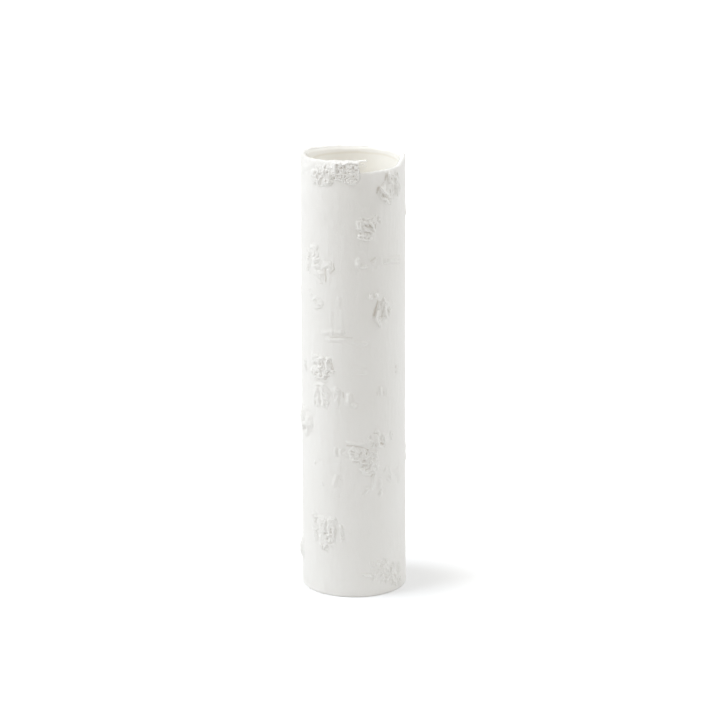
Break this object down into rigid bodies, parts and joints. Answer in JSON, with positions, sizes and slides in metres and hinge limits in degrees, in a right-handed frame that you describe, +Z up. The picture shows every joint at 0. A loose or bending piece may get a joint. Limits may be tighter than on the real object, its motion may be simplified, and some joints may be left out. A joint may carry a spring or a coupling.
{
  "type": "vase",
  "caption": "Tall straight porcelain vase with a bark-like outer face of crusts, knots and welts, an uneven torn rim and a glazed inside.",
  "frame": {"origin": "middle of the underside, on the surface the vase stands on", "axes": "+Z up along the vase's axis, -Y towards the front, where the rim's step is, +X to the right as seen from the front"},
  "size_m": [0.082, 0.0829, 0.3391],
  "materials": {
    "bare_porcelain": "unglazed bisque, matte, fine grain",
    "crust_porcelain": "unglazed bisque, matte, crumbly",
    "cream_glaze": "glossy cream-white glaze"
  },
  "bodies": {
    "root": {"outer_wall": "bare_porcelain", "base_disc": "bare_porcelain", "corner_coil": "bare_porcelain", "glaze_lining": "cream_glaze", "crust_back_foot": "crust_porcelain", "crust_back_low": "crust_porcelain", "crust_back_lower": "crust_porcelain", "crust_back_middle": "crust_porcelain", "crust_back_right": "crust_porcelain", "crust_back_rim": "crust_porcelain", "crust_back_shoulder": "crust_porcelain", "crust_back_upper": "crust_porcelain", "crust_foot_right": "crust_porcelain", "crust_foot_side": "crust_porcelain", "crust_lower_front": "crust_porcelain", "crust_lower_left": "crust_porcelain", "crust_lower_right": "crust_porcelain", "crust_middle_front": "crust_porcelain", "crust_middle_left": "crust_porcelain", "crust_rim_front": "crust_porcelain", "crust_rim_left": "crust_porcelain", "crust_rim_right": "crust_porcelain", "crust_shoulder_right": "crust_porcelain", "crust_side_left": "crust_porcelain", "crust_side_low": "crust_porcelain", "crust_small_left": "crust_porcelain", "crust_tail_left": "crust_porcelain", "crust_trail_right": "crust_porcelain", "crust_upper_left": "crust_porcelain", "knot_back_left": "crust_porcelain", "knot_back_lower": "crust_porcelain", "knot_back_right": "crust_porcelain", "knot_back_upper": "crust_porcelain", "knot_lower_front": "crust_porcelain", "knot_lower_right": "crust_porcelain", "knot_middle_left": "crust_porcelain", "knot_middle_right": "crust_porcelain", "knot_small_front": "crust_porcelain", "knot_small_left": "crust_porcelain", "knot_small_right": "crust_porcelain", "knot_small_upper": "crust_porcelain", "knot_upper_front": "crust_porcelain", "knot_upper_right": "crust_porcelain", "sliver_rim_lower": "cream_glaze", "sliver_rim_upper": "cream_glaze", "welt_lower_front": "crust_porcelain", "welt_middle_front": "crust_porcelain", "welt_over_crust": "crust_porcelain", "welt_upper_right": "crust_porcelain"}
  },
  "joints": []
}
